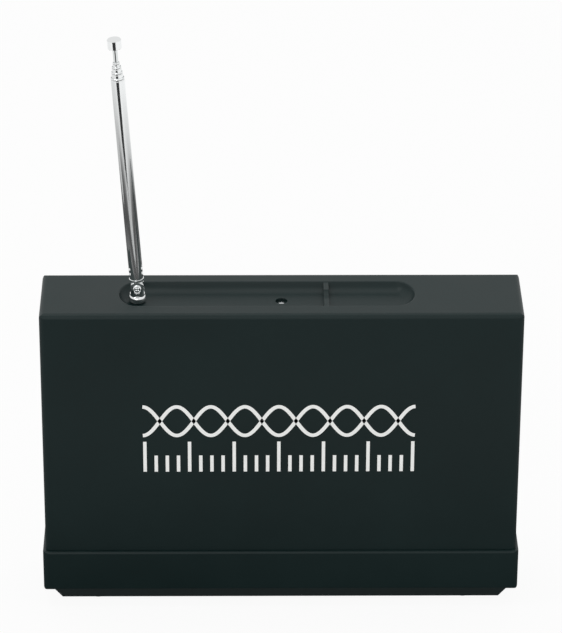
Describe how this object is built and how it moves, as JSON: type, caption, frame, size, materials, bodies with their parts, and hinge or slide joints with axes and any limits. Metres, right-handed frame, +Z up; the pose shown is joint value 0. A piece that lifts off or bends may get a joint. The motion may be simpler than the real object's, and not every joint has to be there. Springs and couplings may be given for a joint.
{
  "type": "theremin",
  "caption": "Compact battery theremin: upright plastic case with a folding, swivelling telescopic pitch antenna, sunken control panel with dials, speaker and jacks.",
  "frame": {"origin": "centre of the bounding box seen from above, at the level of the surface that the rubber pads stand on", "axes": "+X right in the view of the plain audience face (which faces -Y), +Y out of the sunken control panel, +Z up"},
  "size_m": [0.2126, 0.0426, 0.2687],
  "materials": {
    "case_plastic": "fine-grained satin black-green ABS",
    "panel_plastic": "fine-grained black ABS",
    "foot_rubber": "matt",
    "antenna_chrome": "polished chrome plate on brass",
    "screw_steel": "zinc plated",
    "screw_black": "black oxide",
    "knob_plastic": "satin",
    "lever_plastic": "gloss",
    "print_ink": "white screen print",
    "lamp_red": "clear red",
    "pot_metal": "plated",
    "basket_steel": "grey",
    "cone_paper": "black paper",
    "magnet_ferrite": "ground ferrite",
    "board_laminate": "solder mask",
    "chip_plastic": "matt",
    "capacitor_sleeve": "shrink sleeve",
    "can_metal": "drawn",
    "lug_brass": "bright",
    "lead_red": "PVC",
    "lead_blue": "PVC",
    "battery_jacket": "printed steel jacket"
  },
  "bodies": {
    "case": {"housing": "case_plastic", "control_panel": "panel_plastic", "base": "case_plastic", "door_pin": "screw_steel", "rubber_pads": "foot_rubber", "recess_screw": "screw_steel", "base_screws": "screw_black", "panel_screws": "screw_black", "speaker_basket": "basket_steel", "speaker_cone": "cone_paper", "speaker_magnet": "magnet_ferrite", "speaker_screws": "screw_steel", "main_board": "board_laminate", "board_screws": "screw_steel", "oscillator_cans": "can_metal", "board_chips": "chip_plastic", "board_capacitors": "capacitor_sleeve", "pot_nuts": "screw_steel", "power_switch": "chip_plastic", "power_lamp": "lamp_red", "headphone_jack": "chip_plastic", "line_jack": "chip_plastic", "jack_nuts": "screw_steel", "battery": "battery_jacket", "battery_snap": "chip_plastic", "antenna_collar": "antenna_chrome", "collar_nut": "screw_steel", "antenna_lug": "lug_brass", "antenna_lead": "lead_red", "speaker_leads": "lead_blue", "battery_leads": "lead_red", "pitch_pot": "pot_metal", "volume_pot": "pot_metal", "tone_pot": "pot_metal", "range_pot": "pot_metal"},
    "battery_door": {"battery_door": "panel_plastic"},
    "pitch_dial": {"pitch_shaft": "screw_steel", "pitch_dial": "knob_plastic"},
    "volume_knob": {"volume_shaft": "screw_steel", "volume_knob": "knob_plastic"},
    "tone_knob": {"tone_shaft": "screw_steel", "tone_knob": "knob_plastic"},
    "range_knob": {"range_shaft": "screw_steel", "range_knob": "knob_plastic"},
    "switch_lever": {"switch_lever": "lever_plastic"},
    "swivel": {"antenna_fork": "antenna_chrome", "fold_screw": "antenna_chrome", "swivel_clip": "screw_steel"},
    "antenna": {"antenna_root": "antenna_chrome", "outer_tube": "antenna_chrome"},
    "second_section": {"second_tube": "antenna_chrome"},
    "third_section": {"third_tube": "antenna_chrome"},
    "fourth_section": {"fourth_tube": "antenna_chrome"},
    "rod_section": {"antenna_rod": "antenna_chrome", "antenna_tip": "antenna_chrome"}
  },
  "joints": [
    {"name": "battery_door_hinge", "type": "hinge", "parent": "case", "child": "battery_door", "pos_m": [0.01675, 0, 0.0021], "axis": [0, 1, 0], "range_deg": [0, 90]},
    {"name": "pitch_dial_turn", "type": "hinge", "parent": "case", "child": "pitch_dial", "pos_m": [0.062, 0.011, 0.099], "axis": [0, -1, 0], "range_deg": [-150, 150]},
    {"name": "volume_knob_turn", "type": "hinge", "parent": "case", "child": "volume_knob", "pos_m": [0.084, 0.011, 0.054], "axis": [0, -1, 0], "range_deg": [-150, 150]},
    {"name": "tone_knob_turn", "type": "hinge", "parent": "case", "child": "tone_knob", "pos_m": [0.054, 0.011, 0.054], "axis": [0, -1, 0], "range_deg": [-150, 150]},
    {"name": "range_knob_turn", "type": "hinge", "parent": "case", "child": "range_knob", "pos_m": [0.024, 0.011, 0.054], "axis": [0, -1, 0], "range_deg": [-150, 150]},
    {"name": "power_switch_slide", "type": "slide", "parent": "case", "child": "switch_lever", "axis": [0, 0, 1], "range_m": [0, 0.004]},
    {"name": "antenna_swivel", "type": "hinge", "parent": "case", "child": "swivel", "pos_m": [-0.0628, 0.00045, 0.1439], "axis": [0, 0, 1], "continuous": true},
    {"name": "antenna_fold", "type": "hinge", "parent": "swivel", "child": "antenna", "pos_m": [-0.0628, 0.00045, 0.15085], "axis": [0, 1, 0], "range_deg": [-86, 93.9]},
    {"name": "second_tube_slide", "type": "slide", "parent": "antenna", "child": "second_section", "axis": [-0.0691, 0, 0.9976], "range_m": [0, 0.084]},
    {"name": "third_tube_slide", "type": "slide", "parent": "second_section", "child": "third_section", "axis": [-0.0691, 0, 0.9976], "range_m": [0, 0.084]},
    {"name": "fourth_tube_slide", "type": "slide", "parent": "third_section", "child": "fourth_section", "axis": [-0.0691, 0, 0.9976], "range_m": [0, 0.084]},
    {"name": "rod_slide", "type": "slide", "parent": "fourth_section", "child": "rod_section", "axis": [-0.0691, 0, 0.9976], "range_m": [0, 0.084]}
  ]
}
